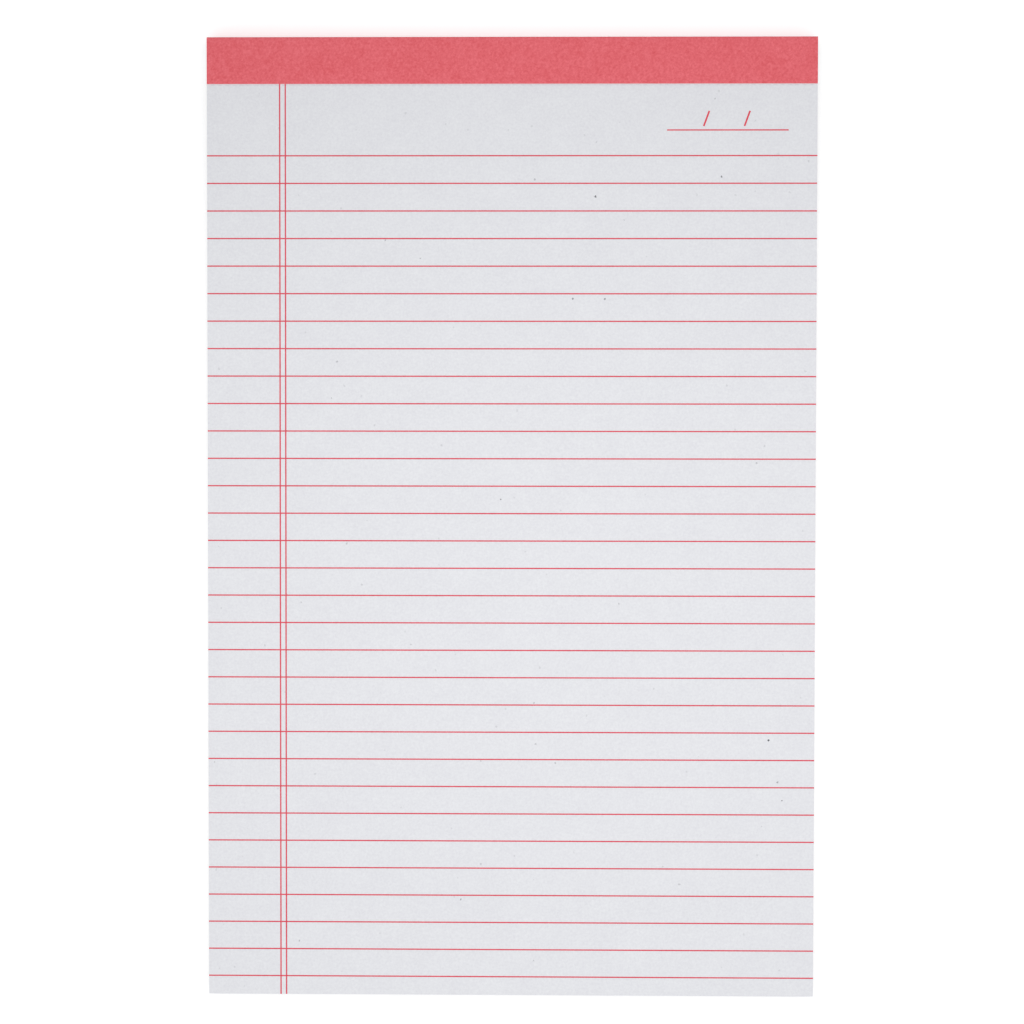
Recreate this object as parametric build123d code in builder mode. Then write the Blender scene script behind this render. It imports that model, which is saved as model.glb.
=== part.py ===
"""Top-bound ruled notepad, lying on its back with the printed page up.

Leaves and card back are stacked, gummed together along the head and wrapped by one folded paper tape.
Millimetres, +X to the page's right, +Y to the bound head, +Z out of the page.
The origin is on the surface that the pad lies on, under the middle of the page.
"""

import math
import os

from build123d import *

# Trimmed pad
pad_width = 127.0
pad_length = 200.4

# Stack of leaves on a card back
leaf_count = 50
leaf_thickness = 0.095
board_thickness = 0.8

# Film of padding gum on the head of the stack
gum_thickness = 0.25

# Binding tape: one strip, folded from the page over the head on to the card
tape_thickness = 0.14
tape_strip_width = 25.4
tape_front_flap = 9.7
tape_nip = 0.08
fold_radius_share = 0.8

# Tear-off perforation, a row of slits through the leaves below the tape
slit_length = 0.9
slit_tie = 0.6
slit_width = 0.05
slit_from_tape = 0.25

# Printed ruling
ink_thickness = 0.02
rule_width = 0.26
rule_pitch = 5.73
first_rule_from_head = 24.6
foot_margin_least = 2.0
margin_from_left = 15.2
margin_rule_gap = 1.17
margin_rule_width = 0.27

# Printed date field: a short rule with two leaning strokes above it
date_rule_length = 25.2
date_rule_width = 0.26
date_from_right = 6.0
date_from_head = 19.3
date_stroke_height = 3.15
date_stroke_width = 0.36
date_stroke_lean = 20.0
date_stroke_lift = 0.8
date_stroke_shares = (0.325, 0.66)

# Levels from the table up
board_back_z = tape_thickness - tape_nip
board_top_z = board_back_z + board_thickness
stack_thickness = leaf_count * leaf_thickness
page_z = board_top_z + stack_thickness

# Stations from the foot to the head
foot_y = -pad_length / 2
head_y = pad_length / 2
spine_y = head_y - tape_thickness
stack_head_y = spine_y - gum_thickness
front_flap_y = head_y - tape_front_flap
left_x = -pad_width / 2
right_x = pad_width / 2

# The strip keeps its width as it folds, so the back flap is what the front flap and the spine leave of it
fold_radius = gum_thickness * fold_radius_share
fold_middle_arc = math.pi / 2 * (fold_radius + tape_thickness / 2)
front_run = spine_y - fold_radius - front_flap_y
spine_run = page_z - tape_thickness - 2 * fold_radius
back_run = tape_strip_width - front_run - spine_run - 2 * fold_middle_arc
back_flap_y = spine_y - fold_radius - back_run


# Leaves: one trimmed block, perforated across its whole width just below the tape
with BuildPart() as sheets:
    with BuildSketch(Plane.YZ):
        with Locations(((foot_y + stack_head_y) / 2, (board_top_z + page_z) / 2)):
            Rectangle(stack_head_y - foot_y, stack_thickness)
    extrude(amount=pad_width / 2, both=True)

    slit_pitch = slit_length + slit_tie
    slit_count = int(pad_width / slit_pitch)
    with BuildSketch(Plane.XY.offset(board_top_z)):
        with Locations((0, front_flap_y - slit_from_tape)):
            with GridLocations(slit_pitch, 0, slit_count, 1):
                Rectangle(slit_length, slit_width)
    extrude(amount=stack_thickness, mode=Mode.SUBTRACT)


# Card back: the tape's back flap is pressed into it, so it stands a little proud of the card
with BuildPart() as backing_board:
    with BuildSketch(Plane.YZ):
        with Locations(((foot_y + stack_head_y) / 2, (board_back_z + board_top_z) / 2)):
            Rectangle(stack_head_y - foot_y, board_thickness)
        with Locations(((back_flap_y + stack_head_y) / 2, board_back_z + tape_nip / 2)):
            Rectangle(stack_head_y - back_flap_y, tape_nip, mode=Mode.SUBTRACT)
    extrude(amount=pad_width / 2, both=True)


# Gum: a film over the head of leaves and card, rounded where the tape folds
with BuildPart() as head_gum:
    with BuildSketch(Plane.YZ):
        with Locations(((stack_head_y + spine_y) / 2, (tape_thickness + page_z) / 2)):
            film = Rectangle(gum_thickness, page_z - tape_thickness)
        fillet(film.vertices().group_by(Axis.X)[-1], radius=fold_radius)
    extrude(amount=pad_width / 2, both=True)


# Tape: the inner line of its section, thickened outwards
with BuildPart() as binding_tape:
    with BuildSketch(Plane.YZ):
        with BuildLine():
            FilletPolyline(
                (front_flap_y, page_z),
                (spine_y, page_z),
                (spine_y, tape_thickness),
                (back_flap_y, tape_thickness),
                radius=fold_radius,
            )
            offset(amount=tape_thickness, side=Side.LEFT)
        make_face()
    extrude(amount=pad_width / 2, both=True)


# Ruling: one film of ink with full-width rules, a double margin and the date field
with BuildPart() as ruling:
    with BuildSketch(Plane.XY.offset(page_z)):
        first_rule_y = head_y - first_rule_from_head
        rule_count = 1 + int((first_rule_y - foot_y - foot_margin_least) / rule_pitch)
        rules_middle_y = first_rule_y - rule_pitch * (rule_count - 1) / 2
        with Locations((0, rules_middle_y)):
            with GridLocations(0, rule_pitch, 1, rule_count):
                Rectangle(pad_width, rule_width)

        margin_middle_x = left_x + margin_from_left + margin_rule_gap / 2
        with Locations((margin_middle_x, (foot_y + front_flap_y) / 2)):
            with GridLocations(margin_rule_gap, 0, 2, 1):
                Rectangle(margin_rule_width, front_flap_y - foot_y)

        date_left_x = right_x - date_from_right - date_rule_length
        date_y = head_y - date_from_head
        with Locations((date_left_x + date_rule_length / 2, date_y)):
            Rectangle(date_rule_length, date_rule_width)
        stroke_y = date_y + date_stroke_lift + date_stroke_height / 2
        stroke_length = date_stroke_height / math.cos(math.radians(date_stroke_lean))
        with Locations(*[(date_left_x + share * date_rule_length, stroke_y) for share in date_stroke_shares]):
            Rectangle(date_stroke_width, stroke_length, rotation=-date_stroke_lean)
    extrude(amount=ink_thickness)


os.makedirs("parts", exist_ok=True)
pieces = {
    "sheets": sheets,
    "backing_board": backing_board,
    "head_gum": head_gum,
    "binding_tape": binding_tape,
    "ruling": ruling,
}
for name, piece in pieces.items():
    piece.part.label = name
    export_step(piece.part, f"parts/{name}.step")
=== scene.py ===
"""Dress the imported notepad: single leaves, a folded paper tape, procedural papers and a plain studio.

Lengths are metres in the part's own frame: +X to the page's right, +Y to the bound head, +Z out of the page.
Colours are written as a picture shows them, 0 to 255, and turned into linear ones where a socket takes them.
"""

import logging
import math
from dataclasses import dataclass
from enum import Enum, IntEnum
from typing import Any

import bmesh
import bpy
import numpy as np
from mathutils import Color, Matrix, Vector, noise


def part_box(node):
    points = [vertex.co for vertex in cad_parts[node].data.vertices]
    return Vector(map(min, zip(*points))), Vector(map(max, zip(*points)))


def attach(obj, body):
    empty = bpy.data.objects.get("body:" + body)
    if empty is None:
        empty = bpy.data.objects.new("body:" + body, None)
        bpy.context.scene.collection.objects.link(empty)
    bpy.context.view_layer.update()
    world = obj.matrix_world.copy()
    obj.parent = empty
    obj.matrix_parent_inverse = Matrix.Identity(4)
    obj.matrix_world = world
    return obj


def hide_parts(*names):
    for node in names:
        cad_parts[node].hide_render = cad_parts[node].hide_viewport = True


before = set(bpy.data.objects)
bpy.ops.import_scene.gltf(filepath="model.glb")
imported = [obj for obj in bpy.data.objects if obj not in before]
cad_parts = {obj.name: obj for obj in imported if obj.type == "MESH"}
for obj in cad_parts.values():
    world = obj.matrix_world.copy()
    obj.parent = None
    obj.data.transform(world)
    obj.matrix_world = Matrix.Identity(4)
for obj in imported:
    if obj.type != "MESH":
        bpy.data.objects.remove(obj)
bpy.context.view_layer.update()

LOG = logging.getLogger("notepad")
BODY = "root"
BAKE_MAP = "OFBake"
FULL_CHANNEL = 255

Rgb = tuple[int, int, int]
Point = tuple[float, float]
Sockets = dict[str | int, Any]


class Node(str, Enum):
    """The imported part's nodes."""

    SHEETS = "sheets"
    BOARD = "backing_board"
    GUM = "head_gum"
    TAPE = "binding_tape"
    RULING = "ruling"


class Edge(IntEnum):
    """A leaf's edges, in their order round it."""

    FOOT = 0
    RIGHT = 1
    HEAD = 2
    LEFT = 3


class Slot(str, Enum):
    """The record's material slots."""

    LEAF = "leaf_paper"
    BOARD = "chipboard"
    GUM = "padding_gum"
    TAPE = "tape_paper"
    INK = "ruling_ink"


def linear(colour: Rgb) -> tuple[float, float, float, float]:
    """Turn a displayed colour into a linear one.

    Args:
        colour: red, green and blue from 0 to 255.

    Returns:
        Linear red, green and blue from 0 to 1, with an alpha of 1.
    """
    shown = Color([channel / FULL_CHANNEL for channel in colour])
    return (*shown.from_srgb_to_scene_linear(), 1.0)


@dataclass(frozen=True)
class Box:
    """The box of a node of the frame, at rest."""

    low: Vector
    high: Vector

    @classmethod
    def of(cls, node: Node) -> "Box":
        """Read a node's box from the frame."""
        low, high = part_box(node.value)
        return cls(low, high)

    @property
    def size(self) -> Vector:
        """Width, length and height."""
        return self.high - self.low

    @property
    def middle(self) -> Vector:
        """The centre of the box."""
        return (self.low + self.high) / 2


class Tree:
    """A shader or geometry node tree, with one way to add nodes, set their sockets and join them."""

    def __init__(self, tree: bpy.types.NodeTree) -> None:
        """Wrap a tree."""
        self.tree = tree

    def add(self, kind: str, sockets: Sockets | None = None, **settings: Any) -> bpy.types.Node:
        """Add a node.

        Args:
            kind: the node's type in Blender.
            sockets: inputs by name or place, each with its value or with the output that feeds it.
            settings: the node's own properties.

        Returns:
            The new node.
        """
        node = self.tree.nodes.new(kind)
        for name, value in settings.items():
            setattr(node, name, value)
        for name, value in (sockets or {}).items():
            self.feed(node.inputs[name], value)
        return node

    def feed(self, socket: bpy.types.NodeSocket, value: Any) -> None:
        """Set an input, or join one or several outputs to it."""
        for source in value if isinstance(value, list) else [value]:
            if isinstance(source, bpy.types.NodeSocket):
                self.tree.links.new(source, socket)
            else:
                socket.default_value = source

    def sum(self, operation: str, *values: Any, clamp: bool = False) -> bpy.types.NodeSocket:
        """Work out one step of arithmetic.

        Args:
            operation: a Math node's operation.
            values: numbers or outputs, in the order of the node's inputs.
            clamp: whether the answer is kept from 0 to 1.

        Returns:
            The output that holds the answer.
        """
        node = self.add("ShaderNodeMath", dict(enumerate(values)), operation=operation, use_clamp=clamp)
        return node.outputs[0]

    def spread(self, value: Any, low: Any, high: Any, smooth: bool = False) -> bpy.types.NodeSocket:
        """Stretch a value so that low becomes 0 and high becomes 1.

        Args:
            value: the output to stretch.
            low: what becomes 0.
            high: what becomes 1.
            smooth: whether the step is eased at both ends.

        Returns:
            The stretched value, kept from 0 to 1.
        """
        kind = "SMOOTHSTEP" if smooth else "LINEAR"
        sockets = {"Value": value, "From Min": low, "From Max": high}
        return self.add("ShaderNodeMapRange", sockets, interpolation_type=kind).outputs["Result"]

    def mix(self, share: Any, first: Any, second: Any) -> bpy.types.NodeSocket:
        """Mix two colours.

        Args:
            share: how much of the second colour shows, from 0 to 1.
            first: a colour, or the output that gives it.
            second: the same, for the other colour.

        Returns:
            The mixed colour.
        """
        node = self.add("ShaderNodeMix", data_type="RGBA")
        for name, value in {"Factor_Float": share, "A_Color": first, "B_Color": second}.items():
            self.feed(next(socket for socket in node.inputs if socket.identifier == name), value)
        return next(socket for socket in node.outputs if socket.identifier == "Result_Color")


def new_group(name: str, kind: str, inputs: dict[str, str], outputs: dict[str, str]) -> Tree:
    """Make an empty node group with its sockets.

    Args:
        name: the group's name.
        kind: the tree's type in Blender.
        inputs: socket names, each with the last part of its type, such as Float.
        outputs: the same, for what the group gives.

    Returns:
        The wrapped tree.
    """
    group = bpy.data.node_groups.new(name, kind)
    for direction, sockets in (("INPUT", inputs), ("OUTPUT", outputs)):
        for socket, part in sockets.items():
            group.interface.new_socket(socket, in_out=direction, socket_type=f"NodeSocket{part}")
    return Tree(group)


class ShaderGroups:
    """The effects that several finishes share, each built once.

    A span holds the two values of a noise that become 0 and 1. Turns are radians about the page's normal.
    """

    mottle_name = "fibre_mottle"
    fleck_name = "pulp_flecks"
    noise_roughness = 0.62
    noise_middle = (0.5, 0.5, 0.5)
    tooth_detail = 3.0
    tooth_span = (0.3, 0.7)
    fibre_detail = 2.0
    fibre_turns = (0.3, 1.35, 2.4)
    fibre_width = 0.6
    fibre_draw = 5.0
    grain_span = (0.37, 0.63)
    cloud_detail = 2.0
    cloud_span = (0.3, 0.7)
    rag_scale = 0.8
    rag_detail = 1.0
    rag_reach = 1.6
    core_share = 0.55
    faintest = 0.14

    @classmethod
    def mottle(cls) -> bpy.types.NodeTree:
        """Give the group that mottles two tones of pulp by matted fibres and wide clouds."""
        if cls.mottle_name in bpy.data.node_groups:
            return bpy.data.node_groups[cls.mottle_name]
        inputs = {"Vector": "Vector", "Dark": "Color", "Light": "Color", "Fibre Size": "Float"}
        inputs |= {"Cloud Size": "Float", "Cloud Share": "Float"}
        outputs = {"Colour": "Color", "Grain": "Float", "Tooth": "Float"}
        tree = new_group(cls.mottle_name, "ShaderNodeTree", inputs, outputs)
        given = tree.add("NodeGroupInput").outputs
        tooth = cls._noise(tree, given["Vector"], given["Fibre Size"], cls.tooth_detail)
        fibre = cls._matted(tree, given["Vector"], given["Fibre Size"], tooth)
        cloud = cls._noise(tree, given["Vector"], given["Cloud Size"], cls.cloud_detail)
        grain = tree.spread(fibre, *cls.grain_span)
        haze = tree.spread(cloud, *cls.cloud_span)
        fine_share = tree.sum("SUBTRACT", 1.0, given["Cloud Share"])
        fine = tree.sum("MULTIPLY", grain, fine_share)
        tone = tree.sum("MULTIPLY_ADD", haze, given["Cloud Share"], fine, clamp=True)
        colour = tree.mix(tone, given["Dark"], given["Light"])
        relief = tree.spread(tooth, *cls.tooth_span)
        tree.add("NodeGroupOutput", {"Colour": colour, "Grain": grain, "Tooth": relief})
        return tree.tree

    @classmethod
    def _noise(cls, tree: Tree, place: Any, size: Any, detail: float) -> Any:
        """Give noise with features of a size."""
        sockets = {"Vector": place, "Scale": tree.sum("DIVIDE", 1.0, size)}
        sockets |= {"Detail": detail, "Roughness": cls.noise_roughness}
        return tree.add("ShaderNodeTexNoise", sockets).outputs["Fac"]

    @classmethod
    def _matted(cls, tree: Tree, place: Any, size: Any, tooth: Any) -> Any:
        """Cross several layers of drawn-out noise over a fine tooth, as fibres mat in paper.

        Args:
            tree: the group's tree.
            place: the output with the coordinates.
            size: the output with the size of the tooth, which is a little over a fibre's width.
            tooth: the output with the tooth itself.

        Returns:
            The output with the matted value, about one half on the whole.
        """
        matted = tooth
        share = 1.0 / len(cls.fibre_turns)
        narrow = tree.sum("MULTIPLY", size, cls.fibre_width)
        for turn in cls.fibre_turns:
            lie = {"Vector": place, "Rotation": (0.0, 0.0, turn), "Scale": (1.0, cls.fibre_draw, 1.0)}
            drawn = tree.add("ShaderNodeMapping", lie, vector_type="TEXTURE").outputs["Vector"]
            layer = cls._noise(tree, drawn, narrow, cls.fibre_detail)
            matted = tree.sum("MULTIPLY_ADD", layer, share, matted)
        return tree.sum("MULTIPLY", matted, 0.5)

    @classmethod
    def flecks(cls) -> bpy.types.NodeTree:
        """Give the group that masks small ragged flecks, strewn unevenly through the pulp."""
        if cls.fleck_name in bpy.data.node_groups:
            return bpy.data.node_groups[cls.fleck_name]
        inputs = {"Vector": "Vector", "Spacing": "Float", "Size": "Float"}
        inputs |= {"Share": "Float", "Rarity": "Float"}
        tree = new_group(cls.fleck_name, "ShaderNodeTree", inputs, {"Mask": "Float"})
        given = tree.add("NodeGroupInput").outputs
        ragged = cls._ragged(tree, given["Vector"], given["Size"])
        cell_scale = tree.sum("DIVIDE", 1.0, given["Spacing"])
        cells = tree.add("ShaderNodeTexVoronoi", {"Vector": ragged, "Scale": cell_scale})
        gap = tree.sum("MULTIPLY", cells.outputs["Distance"], given["Spacing"])
        chance = tree.add("ShaderNodeSeparateColor", {"Color": cells.outputs["Color"]}).outputs
        core = tree.sum("MULTIPLY", given["Size"], cls.core_share)
        spot = tree.spread(gap, given["Size"], core, smooth=True)
        there = tree.sum("LESS_THAN", chance["Red"], given["Share"])
        rare = tree.sum("POWER", chance["Green"], given["Rarity"])
        depth = tree.sum("MULTIPLY_ADD", rare, 1.0 - cls.faintest, cls.faintest)
        shown = tree.sum("MULTIPLY", spot, there)
        tree.add("NodeGroupOutput", {"Mask": tree.sum("MULTIPLY", shown, depth)})
        return tree.tree

    @classmethod
    def _ragged(cls, tree: Tree, place: Any, size: Any) -> Any:
        """Push coordinates about, so that a round fleck drawn on them has a ragged edge.

        Args:
            tree: the group's tree.
            place: the output with the coordinates.
            size: the output with the fleck's radius.

        Returns:
            The output with the pushed coordinates.
        """
        scale = tree.sum("DIVIDE", cls.rag_scale, size)
        rag = tree.add("ShaderNodeTexNoise", {"Vector": place, "Scale": scale, "Detail": cls.rag_detail})
        from_middle = {0: rag.outputs["Color"], 1: cls.noise_middle}
        off = tree.add("ShaderNodeVectorMath", from_middle, operation="SUBTRACT").outputs["Vector"]
        reach = tree.sum("MULTIPLY", size, cls.rag_reach)
        pushed = {0: off, "Scale": reach}
        push = tree.add("ShaderNodeVectorMath", pushed, operation="SCALE").outputs["Vector"]
        return tree.add("ShaderNodeVectorMath", {0: place, 1: push}, operation="ADD").outputs["Vector"]


@dataclass(frozen=True)
class Flecks:
    """Flecks strewn through a pulp: their colour, spacing, radius, and the share of places that has one.

    The higher the rarity, the fewer of them are deep. A stretch under 1 draws them out along that axis.
    """

    colour: Rgb
    spacing: float
    size: float
    share: float
    rarity: float
    stretch: tuple[float, float, float] = (1.0, 1.0, 1.0)


@dataclass(frozen=True)
class Finish:
    """An uncoated surface of mottled pulp, ink or gum.

    The cloud share of its mottle is wide clouds, and the rest is fibres. Smooth and rough are the roughness
    of its lightest and darkest grain. A tone attribute of the mesh dims the colour, at most to tone_dark.
    """

    name: str
    dark: Rgb
    light: Rgb
    fibre_size: float
    cloud_size: float
    cloud_share: float
    smooth: float
    rough: float
    grain_depth: float
    shine: float
    grain_stretch: tuple[float, float, float] = (1.0, 1.0, 1.0)
    flecks: tuple[Flecks, ...] = ()
    tone_attribute: str = ""
    tone_dark: float = 1.0

    def material(self) -> bpy.types.Material:
        """Build the finish as a material.

        Returns:
            The material, whose patterns lie on the part's own coordinates.
        """
        material = bpy.data.materials.new(self.name)
        material.use_nodes = True
        material.node_tree.nodes.clear()
        tree = Tree(material.node_tree)
        place = tree.add("ShaderNodeTexCoord").outputs["Object"]
        stretched = tree.add("ShaderNodeMapping", {"Vector": place, "Scale": self.grain_stretch})
        pulp = {
            "Vector": stretched.outputs["Vector"],
            "Dark": linear(self.dark),
            "Light": linear(self.light),
            "Fibre Size": self.fibre_size,
            "Cloud Size": self.cloud_size,
            "Cloud Share": self.cloud_share,
        }
        mottle = tree.add("ShaderNodeGroup", pulp, node_tree=ShaderGroups.mottle())
        colour = self._flecked(tree, place, mottle.outputs["Colour"])
        if self.tone_attribute:
            colour = self._toned(tree, colour)
        scale = {"Value": mottle.outputs["Grain"], "To Min": self.rough, "To Max": self.smooth}
        bump = {"Height": mottle.outputs["Tooth"], "Distance": self.grain_depth}
        sockets = {
            "Base Color": colour,
            "Roughness": tree.add("ShaderNodeMapRange", scale).outputs["Result"],
            "Normal": tree.add("ShaderNodeBump", bump).outputs["Normal"],
            "Specular IOR Level": self.shine,
        }
        surface = tree.add("ShaderNodeBsdfPrincipled", sockets)
        tree.add("ShaderNodeOutputMaterial", {"Surface": surface.outputs["BSDF"]})
        return material

    def _flecked(self, tree: Tree, place: Any, colour: Any) -> Any:
        """Lay the finish's flecks over a colour.

        Args:
            tree: the material's tree.
            place: the output with the part's coordinates.
            colour: the output with the colour so far.

        Returns:
            The output with the flecked colour.
        """
        for flecks in self.flecks:
            drawn = tree.add("ShaderNodeMapping", {"Vector": place, "Scale": flecks.stretch})
            sockets = {"Vector": drawn.outputs["Vector"], "Spacing": flecks.spacing, "Size": flecks.size}
            sockets |= {"Share": flecks.share, "Rarity": flecks.rarity}
            strewn = tree.add("ShaderNodeGroup", sockets, node_tree=ShaderGroups.flecks())
            colour = tree.mix(strewn.outputs["Mask"], colour, linear(flecks.colour))
        return colour

    def _toned(self, tree: Tree, colour: Any) -> Any:
        """Darken each leaf a little by the tone that its mesh carries.

        Args:
            tree: the material's tree.
            colour: the output with the colour so far.

        Returns:
            The output with the toned colour.
        """
        tone = tree.add("ShaderNodeAttribute", attribute_name=self.tone_attribute).outputs["Fac"]
        scale = {"Value": tone, "To Min": self.tone_dark, "To Max": 1.0}
        factor = tree.add("ShaderNodeMapRange", scale).outputs["Result"]
        shaded = tree.add("ShaderNodeVectorMath", {0: colour, "Scale": factor}, operation="SCALE")
        return shaded.outputs["Vector"]


LEAF_TONE = "leaf_tone"
DRAWN_ACROSS = (0.22, 1.0, 1.0)
DRAWN_ALONG = (1.0, 0.2, 1.0)
GREY_FLECKS = Flecks(colour=(78, 79, 86), spacing=0.0042, size=0.00029, share=0.85, rarity=7.0)

LEAF_PAPER = Finish(
    name="recycled_leaf_paper",
    dark=(225, 225, 230),
    light=(236, 237, 240),
    fibre_size=0.0005,
    cloud_size=0.007,
    cloud_share=0.2,
    smooth=0.82,
    rough=0.95,
    grain_depth=0.000008,
    shine=0.25,
    flecks=(GREY_FLECKS,),
)
CUT_EDGES = Finish(
    name="leaf_cut_edges",
    dark=(222, 222, 226),
    light=(234, 234, 238),
    fibre_size=0.0008,
    cloud_size=0.009,
    cloud_share=0.5,
    smooth=0.88,
    rough=0.97,
    grain_depth=0.000008,
    shine=0.2,
    flecks=(GREY_FLECKS,),
    tone_attribute=LEAF_TONE,
    tone_dark=0.86,
)
TAPE_PAPER = Finish(
    name="coral_tape_paper",
    dark=(222, 88, 95),
    light=(242, 120, 129),
    fibre_size=0.00043,
    cloud_size=0.006,
    cloud_share=0.14,
    smooth=0.68,
    rough=0.86,
    grain_depth=0.000016,
    shine=0.3,
)
CHIPBOARD = Finish(
    name="grey_chipboard",
    dark=(143, 134, 122),
    light=(176, 167, 154),
    fibre_size=0.0009,
    cloud_size=0.012,
    cloud_share=0.4,
    smooth=0.86,
    rough=0.97,
    grain_depth=0.00002,
    shine=0.2,
    grain_stretch=(1.0, 0.45, 3.0),
    flecks=(
        Flecks((206, 198, 185), spacing=0.0014, size=0.00014, share=0.9, rarity=1.0, stretch=DRAWN_ACROSS),
        Flecks((92, 83, 72), spacing=0.0014, size=0.00014, share=0.9, rarity=1.0, stretch=DRAWN_ALONG),
        Flecks((84, 76, 66), spacing=0.0021, size=0.00024, share=0.8, rarity=1.2),
        Flecks((213, 206, 195), spacing=0.0024, size=0.00022, share=0.7, rarity=1.2),
    ),
)
PADDING_GUM = Finish(
    name="dried_padding_gum",
    dark=(214, 210, 198),
    light=(232, 229, 220),
    fibre_size=0.0006,
    cloud_size=0.004,
    cloud_share=0.6,
    smooth=0.35,
    rough=0.55,
    grain_depth=0.00002,
    shine=0.5,
)
RULING_INK = Finish(
    name="coral_ruling_ink",
    dark=(215, 70, 87),
    light=(232, 90, 105),
    fibre_size=0.0005,
    cloud_size=0.005,
    cloud_share=0.4,
    smooth=0.7,
    rough=0.85,
    grain_depth=0.000003,
    shine=0.25,
)


def new_piece(name: str, mesh: bpy.types.Mesh, slot: Slot, *stands_for: Node) -> bpy.types.Object:
    """Put a finished mesh in the scene as a piece of the pad.

    Args:
        name: the piece's name.
        mesh: its mesh, in place.
        slot: the record's slot for the piece's finish; not used.
        stands_for: the nodes that it shows in place of.

    Returns:
        The piece, riding on the pad.
    """
    piece = bpy.data.objects.new(name, mesh)
    bpy.context.scene.collection.objects.link(piece)
    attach(piece, BODY)
    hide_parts(*[node.value for node in stands_for])
    return piece


def dress_node(node: Node, finish: Finish) -> bpy.types.Object:
    """Give a node of the frame its finish.

    Args:
        node: the node, whose shape stays as it is.
        finish: the finish to wear.

    Returns:
        The node's object.
    """
    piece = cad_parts[node.value]
    piece.data.materials.clear()
    piece.data.materials.append(finish.material())
    return piece


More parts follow.
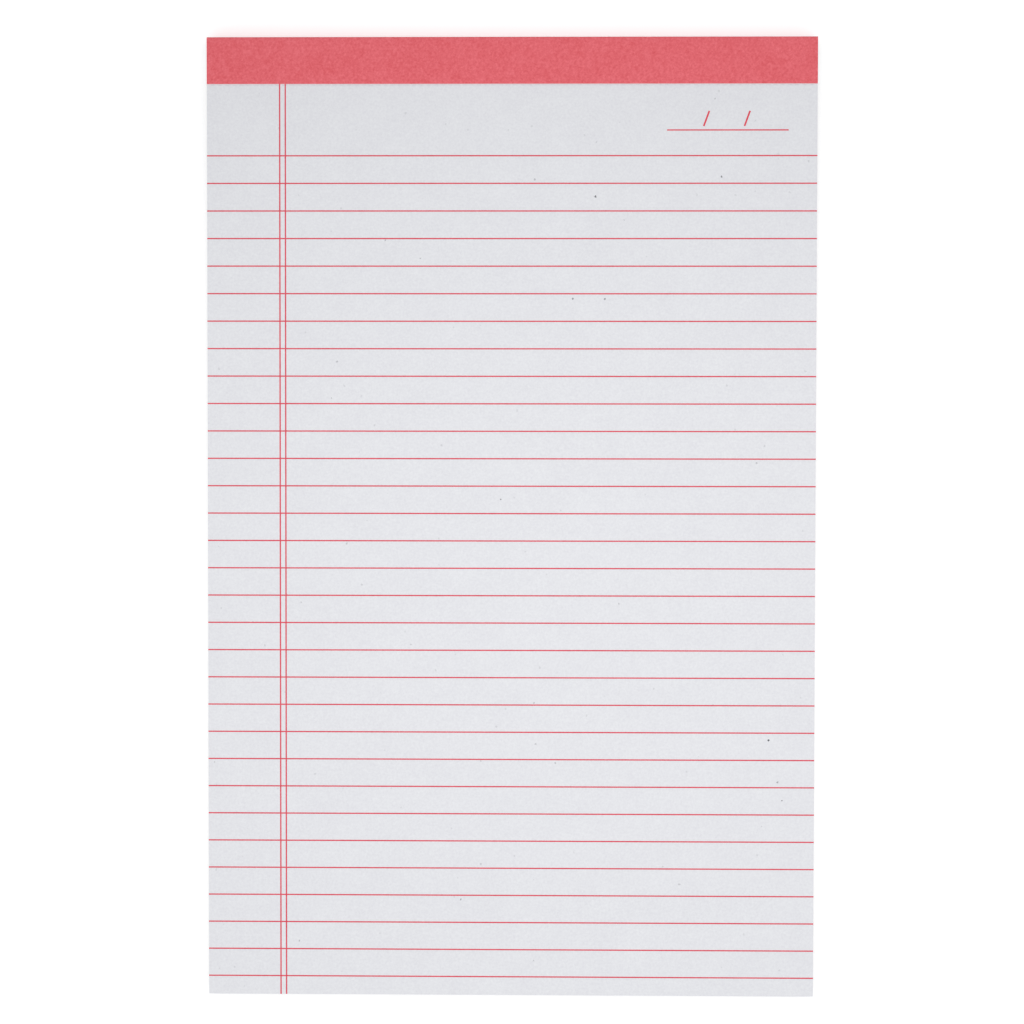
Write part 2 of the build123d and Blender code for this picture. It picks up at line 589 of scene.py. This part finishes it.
class LeafPile:
    """The geometry tree that lays perforated leaves on each other, and what it needs to run."""

    name = "leaf_pile"
    weld = 1e-7
    inputs = {
        "Width": "Float",
        "Length": "Float",
        "Thickness": "Float",
        "Pitch": "Float",
        "Count": "Int",
        "Lowest": "Vector",
        "Stray": "Vector",
        "Slit Count": "Int",
        "Slit Length": "Float",
        "Slit Width": "Float",
        "Slit First": "Vector",
        "Slit Step": "Vector",
        "Seed": "Int",
        "Finish": "Material",
    }

    @classmethod
    def tree(cls) -> bpy.types.NodeTree:
        """Build the tree once: an outline with slits, filled, thickened and laid up leaf by leaf."""
        if cls.name in bpy.data.node_groups:
            return bpy.data.node_groups[cls.name]
        tree = new_group(cls.name, "GeometryNodeTree", cls.inputs, {"Geometry": "Geometry"})
        given = tree.add("NodeGroupInput").outputs
        leaf = cls._leaf(tree, given)
        line = {"Count": given["Count"], "Start Location": given["Lowest"]}
        step = tree.add("ShaderNodeCombineXYZ", {"Z": given["Pitch"]}).outputs["Vector"]
        pile = tree.add("GeometryNodeMeshLine", line | {"Offset": step}).outputs["Mesh"]
        back = tree.add("ShaderNodeVectorMath", {0: given["Stray"], "Scale": -1.0}, operation="SCALE")
        shifts = tree.add("FunctionNodeRandomValue", data_type="FLOAT_VECTOR")
        tree.feed(shifts.inputs[0], back.outputs["Vector"])
        tree.feed(shifts.inputs[1], given["Stray"])
        tree.feed(shifts.inputs["Seed"], given["Seed"])
        shifted = {"Geometry": pile, "Offset": shifts.outputs[0]}
        places = tree.add("GeometryNodeSetPosition", shifted).outputs["Geometry"]
        set_out = {"Points": places, "Instance": leaf}
        leaves = tree.add("GeometryNodeInstanceOnPoints", set_out).outputs["Instances"]
        tones = tree.add("FunctionNodeRandomValue", {"Seed": given["Seed"]}, data_type="FLOAT")
        toned = {"Geometry": leaves, "Name": LEAF_TONE, "Value": tones.outputs[1]}
        named = tree.add("GeometryNodeStoreNamedAttribute", toned, data_type="FLOAT", domain="INSTANCE")
        real = tree.add("GeometryNodeRealizeInstances", {"Geometry": named.outputs["Geometry"]})
        worn = {"Geometry": real.outputs["Geometry"], "Material": given["Finish"]}
        dressed = tree.add("GeometryNodeSetMaterial", worn).outputs["Geometry"]
        tree.add("NodeGroupOutput", {"Geometry": dressed})
        return tree.tree

    @classmethod
    def _leaf(cls, tree: Tree, given: Any) -> Any:
        """Add the nodes of one leaf.

        Args:
            tree: the geometry tree.
            given: the tree's inputs.

        Returns:
            The output with a closed leaf, its underside on the level of the origin.
        """
        outline = {"Width": given["Width"], "Height": given["Length"]}
        edge = tree.add("GeometryNodeCurvePrimitiveQuadrilateral", outline).outputs["Curve"]
        row = {"Count": given["Slit Count"], "Start Location": given["Slit First"]}
        row_line = tree.add("GeometryNodeMeshLine", row | {"Offset": given["Slit Step"]}).outputs["Mesh"]
        cut = {"Width": given["Slit Length"], "Height": given["Slit Width"]}
        slit = tree.add("GeometryNodeCurvePrimitiveQuadrilateral", cut).outputs["Curve"]
        slits = tree.add("GeometryNodeInstanceOnPoints", {"Points": row_line, "Instance": slit})
        real = tree.add("GeometryNodeRealizeInstances", {"Geometry": slits.outputs["Instances"]})
        lines = tree.add("GeometryNodeJoinGeometry", {0: [edge, real.outputs["Geometry"]]})
        face = tree.add("GeometryNodeFillCurve", {"Curve": lines.outputs["Geometry"]}).outputs["Mesh"]
        raised = {"Mesh": face, "Offset Scale": given["Thickness"], "Individual": False}
        walls = tree.add("GeometryNodeExtrudeMesh", raised, mode="FACES").outputs["Mesh"]
        under = tree.add("GeometryNodeFlipFaces", {"Mesh": face}).outputs["Mesh"]
        closed = tree.add("GeometryNodeJoinGeometry", {0: [walls, under]}).outputs["Geometry"]
        joined = {"Geometry": closed, "Distance": cls.weld}
        return tree.add("GeometryNodeMergeByDistance", joined).outputs["Geometry"]

    @classmethod
    def mesh(cls, name: str, values: Sockets) -> bpy.types.Mesh:
        """Run the tree.

        Args:
            name: the mesh's name.
            values: the tree's inputs by name.

        Returns:
            The plain mesh that the tree gives.
        """
        tree = cls.tree()
        carrier = bpy.data.objects.new(name, bpy.data.meshes.new(f"{name}_start"))
        bpy.context.scene.collection.objects.link(carrier)
        modifier = carrier.modifiers.new(cls.name, "NODES")
        modifier.node_group = tree
        for item in tree.interface.items_tree:
            if item.in_out == "INPUT":
                modifier[item.identifier] = values[item.name]
        graph = bpy.context.evaluated_depsgraph_get()
        mesh = bpy.data.meshes.new_from_object(carrier.evaluated_get(graph), depsgraph=graph)
        carrier.modifiers.remove(modifier)
        bpy.data.objects.remove(carrier)
        mesh.name = name
        return mesh


@dataclass(frozen=True)
class LeafMap:
    """Lays piled leaves out on the map that the export bakes through, so that what shows gets most of it.

    Each leaf has a column low on the map for its two faces, and a band above the columns for its four edges.
    The columns take up the faces' share of the map, and a leaf's upper face its share of the column.
    """

    sheets: Box
    lowest: float
    pitch: float
    count: int
    faces_share: float
    upper_share: float
    rim: float = 0.0015
    rim_share: float = 0.25
    flat: float = 0.5
    slack: float = 0.02

    def lay_out(self, mesh: bpy.types.Mesh) -> None:
        """Give a mesh of leaves its map."""
        face = np.repeat(np.arange(len(mesh.polygons)), self._read(mesh.polygons, "loop_total", 1, np.int32))
        corner = self._read(mesh.loops, "vertex_index", 1, np.int32)
        place = self._read(mesh.vertices, "co", 3, np.float32)[corner]
        normal = self._read(mesh.polygons, "normal", 3, np.float32)[face]
        level = (self._read(mesh.polygons, "center", 3, np.float32)[face, 2] - self.lowest) / self.pitch
        leaf = np.floor(level + self.slack).clip(0, self.count - 1)
        lying = np.abs(normal[:, 2:]) > self.flat
        on_faces = self._face_spots(place, normal, leaf)
        spots = np.where(lying, on_faces, self._edge_spots(place, normal, leaf))
        layer = mesh.uv_layers.new(name=BAKE_MAP)
        layer.uv.foreach_set("vector", spots.astype(np.float32).ravel())

    def _face_spots(self, place: np.ndarray, normal: np.ndarray, leaf: np.ndarray) -> np.ndarray:
        """Place corners as on a leaf's upper or under face.

        Args:
            place: where the corners are.
            normal: which way their faces look.
            leaf: which leaf they are on, counted from the lowest.

        Returns:
            Their places on the map, in the leaf's column.
        """
        across, along = self._over_block(place)
        upper = normal[:, 2] > 0
        starts = (leaf + np.where(upper, 0, self.upper_share)) / self.count
        widths = np.where(upper, self.upper_share, 1 - self.upper_share) / self.count
        columns = self._within(starts, widths, across)
        return np.stack([columns, self._within(0.0, self.faces_share, along)], 1)

    def _edge_spots(self, place: np.ndarray, normal: np.ndarray, leaf: np.ndarray) -> np.ndarray:
        """Place corners as on one of a leaf's four edges.

        Args:
            place: where the corners are.
            normal: which way their faces look.
            leaf: which leaf they are on, counted from the lowest.

        Returns:
            Their places on the map, in the leaf's band.
        """
        across, along = self._over_block(place)
        up = ((place[:, 2] - self.lowest) / self.pitch - leaf).clip(0, 1)
        sideways = np.abs(normal[:, 0]) > self.flat
        side = np.where(normal[:, 0] > 0, Edge.RIGHT, Edge.LEFT)
        end = np.where(normal[:, 1] > 0, Edge.HEAD, Edge.FOOT)
        start = np.where(sideways, side, end) / len(Edge)
        stretch = self._within(start, 1 / len(Edge), np.where(sideways, along, across))
        height = (1 - self.faces_share) / self.count
        return np.stack([stretch, self._within(self.faces_share + leaf * height, height, up)], 1)

    def _over_block(self, place: np.ndarray) -> np.ndarray:
        """Give how far across and along the block each place is, from 0 to 1."""
        return ((place - self.sheets.low) / self.sheets.size)[:, :2].T

    @staticmethod
    def _read(items: Any, name: str, width: int, kind: type) -> np.ndarray:
        """Read one property of many mesh items, as rows where it has several numbers."""
        found = np.empty(len(items) * width, kind)
        items.foreach_get(name, found)
        return found.reshape(-1, width) if width > 1 else found

    def _within(self, start: Any, size: Any, share: Any) -> Any:
        """Give a place in a cell of the map, kept off the cell's rim."""
        rim = np.minimum(self.rim, np.asarray(size) * self.rim_share)
        return start + rim + share * (size - 2 * rim)


@dataclass(frozen=True)
class LeafBlock:
    """The block of leaves: the printed top leaf by itself, and the pile under it."""

    sheets: Box
    tape_foot: float
    leaf_count: int = 50
    leaf_gap: float = 0.000009
    stray: float = 0.00004
    slit_length: float = 0.0009
    slit_tie: float = 0.0006
    slit_width: float = 0.00005
    slit_from_tape: float = 0.00025
    seed: int = 7

    def build(self) -> list[bpy.types.Object]:
        """Make both pieces.

        Returns:
            The top leaf and the pile.
        """
        pitch = self.sheets.size.z / self.leaf_count
        low, under = self.sheets.low.z, self.leaf_count - 1
        top_low = self.sheets.high.z - pitch + self.leaf_gap
        top = self._leaves("top_leaf", 1, top_low, 0.0, LEAF_PAPER)
        LeafMap(self.sheets, top_low, pitch, 1, faces_share=0.97, upper_share=0.94).lay_out(top)
        pile = self._leaves("leaf_pile", under, low, self.stray, CUT_EDGES)
        LeafMap(self.sheets, low, pitch, under, faces_share=0.12, upper_share=0.5).lay_out(pile)
        return [
            new_piece("top_leaf", top, Slot.LEAF, Node.SHEETS),
            new_piece("leaf_pile", pile, Slot.LEAF, Node.SHEETS),
        ]

    def _leaves(self, name: str, count: int, lowest: float, stray: float, finish: Finish) -> bpy.types.Mesh:
        """Pile leaves up.

        Args:
            name: the mesh's name.
            count: how many leaves lie on each other.
            lowest: the level of the lowest one's underside.
            stray: how far a leaf's edges may lie inside the trimmed block's.
            finish: what they are made of.

        Returns:
            The leaves as one mesh.
        """
        size, middle = self.sheets.size, self.sheets.middle
        pitch = size.z / self.leaf_count
        slit_pitch = self.slit_length + self.slit_tie
        slit_count = int(size.x / slit_pitch)
        slit_x = -slit_pitch * (slit_count - 1) / 2
        slit_y = self.tape_foot - self.slit_from_tape - middle.y
        values = {
            "Width": size.x - 2 * stray,
            "Length": size.y - 2 * stray,
            "Thickness": pitch - self.leaf_gap,
            "Pitch": pitch,
            "Count": count,
            "Lowest": Vector((middle.x, middle.y, lowest)),
            "Stray": Vector((stray, stray, 0.0)),
            "Slit Count": slit_count,
            "Slit Length": self.slit_length,
            "Slit Width": self.slit_width,
            "Slit First": Vector((slit_x, slit_y, 0.0)),
            "Slit Step": Vector((slit_pitch, 0.0, 0.0)),
            "Seed": self.seed,
            "Finish": finish.material(),
        }
        return LeafPile.mesh(name, values)


@dataclass(frozen=True)
class Binding:
    """The folded tape over the head, and the gum under it.

    The cockles are low waves of the outer face, and the fuzz is the paper's own tooth on them. A map value
    is a height on the map that the export bakes through, where the outer face lies lowest.
    """

    tape: Box
    gum: Box
    page: float
    tape_foot: float
    fold_radius_share: float = 0.8
    fold_steps: int = 8
    flap_step: float = 0.0009
    across_step: float = 0.0012
    cockle: float = 0.000018
    cockle_size: float = 0.009
    fuzz: float = 0.000006
    fuzz_size: float = 0.0014
    sharp_angle: float = 50.0
    map_outer: float = 0.55
    map_inner: float = 0.57
    map_edges: float = 0.82
    map_ends: float = 0.91
    map_rim: float = 0.025

    def build(self) -> list[bpy.types.Object]:
        """Fold the tape and dress the gum.

        Returns:
            The tape and the gum.
        """
        tape = new_piece("folded_tape", self._tape_mesh(), Slot.TAPE, Node.TAPE)
        return [tape, dress_node(Node.GUM, PADDING_GUM)]

    def _section(self, lift: float) -> list[Point]:
        """Follow the tape's fold from the front flap's edge to the back flap's.

        Args:
            lift: how far outside the tape's inner face the line runs.

        Returns:
            The line's points, as places along the pad and heights.
        """
        thickness = self.tape.high.z - self.page
        radius = self.gum.size.y * self.fold_radius_share
        spine = self.tape.high.y - thickness
        under = self.tape.low.z + thickness
        turn = spine - radius
        front = self._run((self.tape_foot, self.page + lift), (turn, self.page + lift))
        first = self._arc((turn, self.page - radius), radius + lift, 90.0, 0.0)
        down = self._run((spine + lift, self.page - radius), (spine + lift, under + radius))
        second = self._arc((turn, under + radius), radius + lift, 0.0, -90.0)
        back = self._run((turn, under - lift), (self.tape.low.y, under - lift))
        return front + first + down + second + back + [(self.tape.low.y, under - lift)]

    def _run(self, start: Point, end: Point) -> list[Point]:
        """Divide a straight stretch of the section, without its last point."""
        steps = max(1, round(math.dist(start, end) / self.flap_step))
        return [tuple(a + (b - a) * i / steps for a, b in zip(start, end)) for i in range(steps)]

    def _arc(self, centre: Point, radius: float, start: float, end: float) -> list[Point]:
        """Divide a fold of the section, from one angle in degrees to another, without its last point."""
        turns = [math.radians(start + (end - start) * i / self.fold_steps) for i in range(self.fold_steps)]
        return [(centre[0] + radius * math.cos(t), centre[1] + radius * math.sin(t)) for t in turns]

    def _swell(self, x: float, along: float, height: float) -> float:
        """Give how far the outer face stands proud of the fold.

        Args:
            x: the place across the pad.
            along: the way along the strip from its front edge.
            height: the height over what the pad lies on, which presses the back flap flat.

        Returns:
            Low cockles that the gum draws, with the paper's own tooth on them.
        """
        wide = noise.noise(Vector((x / self.cockle_size, along / self.cockle_size, 0.0)))
        fine = noise.noise(Vector((x / self.fuzz_size, along / self.fuzz_size, 1.0)))
        free = min(1.0, max(0.0, height / self.page))
        return free * (self.cockle * (wide + 1) + self.fuzz * (fine + 1)) / 2

    def _tape_mesh(self) -> bpy.types.Mesh:
        """Sweep the section across the pad, with the outer face gently uneven.

        Returns:
            The tape's closed mesh.
        """
        thickness = self.tape.high.z - self.page
        inner, outer = self._section(0.0), self._section(thickness)
        stations = round(self.tape.size.x / self.across_step)
        form = bmesh.new()
        rings = []
        for station in range(stations + 1):
            x = self.tape.low.x + self.tape.size.x * station / stations
            ring = [form.verts.new((x, y, z)) for y, z in inner]
            along = 0.0
            for place, ((y, z), (inner_y, inner_z)) in enumerate(zip(outer, inner)):
                along += math.dist(outer[place], outer[max(place - 1, 0)])
                swell = self._swell(x, along, z) / thickness
                ring.append(form.verts.new((x, y + (y - inner_y) * swell, z + (z - inner_z) * swell)))
            rings.append(ring)
        self._skin(form, rings, len(inner))
        form.normal_update()
        bmesh.ops.recalc_face_normals(form, faces=form.faces)
        mesh = bpy.data.meshes.new("folded_tape")
        form.to_mesh(mesh)
        form.free()
        self._lay_out(mesh, stations, outer)
        mesh.shade_smooth()
        mesh.set_sharp_from_angle(angle=math.radians(self.sharp_angle))
        mesh.materials.append(TAPE_PAPER.material())
        return mesh

    def _lay_out(self, mesh: bpy.types.Mesh, stations: int, line: list[Point]) -> None:
        """Lay the strip out flat on the map that the export bakes through, its outer face largest.

        Args:
            mesh: the tape's mesh, its vertices in the order of the stations.
            stations: how many steps there are across the pad.
            line: the section's outer line.
        """
        steps = [math.dist(before, after) for before, after in zip(line, line[1:])]
        ways = np.concatenate([[0.0], np.cumsum(steps)]) / sum(steps)
        corner = np.empty(len(mesh.loops), np.int32)
        mesh.loops.foreach_get("vertex_index", corner)
        station, place = np.divmod(corner.reshape(-1, 4), 2 * len(line))
        outside, place = np.divmod(place, len(line))
        across, along = station / stations, ways[place]
        ends = np.ptp(station, axis=1, keepdims=True) == 0
        first = np.where(ends, station[:, :1] == 0, place[:, :1] == 0)
        rim_low = np.where(ends, self.map_ends, self.map_edges) + np.where(first, 0.0, 2 * self.map_rim)
        rims = rim_low + self.map_rim * outside
        inner = self.map_inner + (1 - self.map_outer) / 2 * along
        all_outside = outside.all(axis=1, keepdims=True)
        any_outside = outside.any(axis=1, keepdims=True)
        rows = np.where(all_outside, self.map_outer * along, np.where(any_outside, rims, inner))
        spots = np.stack([np.where(ends, along, across), rows], axis=2)
        layer = mesh.uv_layers.new(name=BAKE_MAP)
        layer.uv.foreach_set("vector", spots.astype(np.float32).ravel())

    @staticmethod
    def _skin(form: bmesh.types.BMesh, rings: list[list[bmesh.types.BMVert]], count: int) -> None:
        """Close the tape with faces.

        Args:
            form: the mesh under way.
            rings: the vertices at each station, the inner line's first and then the outer line's.
            count: how many vertices each line has.
        """
        last = count - 1
        for ring, after in zip(rings, rings[1:]):
            for i in range(last):
                form.faces.new((ring[i], ring[i + 1], after[i + 1], after[i]))
                j = count + i
                form.faces.new((ring[j], after[j], after[j + 1], ring[j + 1]))
            for i in (0, last):
                form.faces.new((ring[i], ring[count + i], after[count + i], after[i]))
        for ring in (rings[0], rings[-1]):
            for i in range(last):
                form.faces.new((ring[i], ring[i + 1], ring[count + i + 1], ring[count + i]))


@dataclass(frozen=True)
class CardBack:
    """The card that the leaves lie on."""

    def build(self) -> list[bpy.types.Object]:
        """Dress the card."""
        return [dress_node(Node.BOARD, CHIPBOARD)]


@dataclass(frozen=True)
class Ruling:
    """The print on the top leaf."""

    def build(self) -> list[bpy.types.Object]:
        """Dress the print."""
        return [dress_node(Node.RULING, RULING_INK)]


@dataclass(frozen=True)
class Camera:
    """A camera almost straight above the page. Leans and roll are degrees."""

    page: float
    aim: tuple[float, float] = (0.0002, 0.00145)
    distance: float = 0.52238
    lean_right: float = 1.015
    lean_head: float = 1.859
    roll: float = 0.079
    focal_px: float = 2500.0
    picture_px: float = 1024.0
    sensor: float = 36.0
    near: float = 0.01
    far: float = 20.0

    def build(self) -> bpy.types.Object:
        """Make the camera and point the scene at it.

        Returns:
            The camera.
        """
        lens = bpy.data.cameras.new("page_camera")
        lens.sensor_width = self.sensor
        lens.lens = self.sensor * self.focal_px / self.picture_px
        lens.clip_start = self.near
        lens.clip_end = self.far
        camera = bpy.data.objects.new("page_camera", lens)
        bpy.context.scene.collection.objects.link(camera)
        leans = [math.tan(math.radians(lean)) for lean in (self.lean_right, self.lean_head)]
        back = Vector((*leans, 1.0)).normalized()
        level = Vector((0.0, 1.0, 0.0)).cross(back).normalized()
        right = Matrix.Rotation(math.radians(self.roll), 3, back) @ level
        turn = Matrix((right, back.cross(right), back)).transposed()
        place = Vector((*self.aim, self.page)) + back * self.distance
        camera.matrix_world = Matrix.Translation(place) @ turn.to_4x4()
        bpy.context.scene.camera = camera
        return camera


@dataclass(frozen=True)
class Studio:
    """A white floor, even light from all round, and one soft lamp over the lower half of the page.

    The floor's veil is white that only the camera sees, so that it lights nothing. The tilt is in degrees.
    """

    floor_reach: float = 4.0
    floor_white: float = 0.8
    floor_veil: float = 0.45
    ambient: float = 0.55
    ambient_colour: tuple[float, float, float, float] = (0.99, 1.0, 1.01, 1.0)
    lamp_size: float = 0.444
    lamp_place: tuple[float, float, float] = (0.0153, -0.0626, 0.224)
    lamp_tilt: float = -21.9
    lamp_watts: float = 0.429
    lamp_colour: tuple[float, float, float] = (1.0, 0.995, 0.99)

    def build(self) -> None:
        """Set the view and make the floor, the world and the lamp."""
        bpy.context.scene.view_settings.view_transform = "Standard"
        self._floor()
        self._world()
        self._lamp()

    @staticmethod
    def _seen(tree: Tree) -> bpy.types.NodeSocket:
        """Give 1 for what the camera sees, also in gloss or through glass, and 0 for other light."""
        path = tree.add("ShaderNodeLightPath").outputs
        bent = tree.sum("MAXIMUM", path["Is Glossy Ray"], path["Is Transmission Ray"])
        return tree.sum("MAXIMUM", path["Is Camera Ray"], bent)

    def _floor(self) -> None:
        """Lay a wide white floor that keeps the pad's shadow."""
        reach = self.floor_reach
        mesh = bpy.data.meshes.new("floor")
        corners = [(-reach, -reach, 0.0), (reach, -reach, 0.0), (reach, reach, 0.0), (-reach, reach, 0.0)]
        mesh.from_pydata(corners, [], [(0, 1, 2, 3)])
        material = bpy.data.materials.new("floor_white")
        material.use_nodes = True
        material.node_tree.nodes.clear()
        tree = Tree(material.node_tree)
        white = (self.floor_white, self.floor_white, self.floor_white, 1.0)
        lit = tree.add("ShaderNodeBsdfDiffuse", {"Color": white}).outputs["BSDF"]
        seen = tree.sum("MULTIPLY", self._seen(tree), self.floor_veil)
        veil = tree.add("ShaderNodeEmission", {"Strength": seen}).outputs["Emission"]
        surface = tree.add("ShaderNodeAddShader", {0: lit, 1: veil}).outputs["Shader"]
        tree.add("ShaderNodeOutputMaterial", {"Surface": surface})
        mesh.materials.append(material)
        floor = bpy.data.objects.new("floor", mesh)
        bpy.context.scene.collection.objects.link(floor)

    def _world(self) -> None:
        """Light the pad evenly from all round, with white behind it."""
        world = bpy.data.worlds.new("studio")
        world.use_nodes = True
        world.node_tree.nodes.clear()
        tree = Tree(world.node_tree)
        level = {"Value": self._seen(tree), "To Min": self.ambient, "To Max": 1.0}
        light = tree.add("ShaderNodeMapRange", level).outputs["Result"]
        sky = tree.add("ShaderNodeBackground", {"Color": self.ambient_colour, "Strength": light})
        tree.add("ShaderNodeOutputWorld", {"Surface": sky.outputs["Background"]})
        bpy.context.scene.world = world

    def _lamp(self) -> None:
        """Hang the soft lamp, unseen by the camera."""
        light = bpy.data.lights.new("soft_lamp", "AREA")
        light.shape = "DISK"
        light.size = self.lamp_size
        light.energy = self.lamp_watts
        light.color = self.lamp_colour
        lamp = bpy.data.objects.new("soft_lamp", light)
        lamp.location = self.lamp_place
        lamp.rotation_euler.x = math.radians(self.lamp_tilt)
        lamp.visible_camera = False
        bpy.context.scene.collection.objects.link(lamp)


def main() -> None:
    """Dress the pad piece by piece, then set up the studio and the camera."""
    logging.basicConfig(level=logging.INFO, format="%(name)s: %(message)s")
    sheets = Box.of(Node.SHEETS)
    page = sheets.high.z
    tape_foot = Box.of(Node.RULING).high.y
    assemblies = [
        LeafBlock(sheets, tape_foot),
        Binding(Box.of(Node.TAPE), Box.of(Node.GUM), page, tape_foot),
        CardBack(),
        Ruling(),
    ]
    for assembly in assemblies:
        for piece in assembly.build():
            LOG.info("%s: %d faces", piece.name, len(piece.data.polygons))
    Studio().build()
    Camera(page).build()


if __name__ == "__main__":
    main()
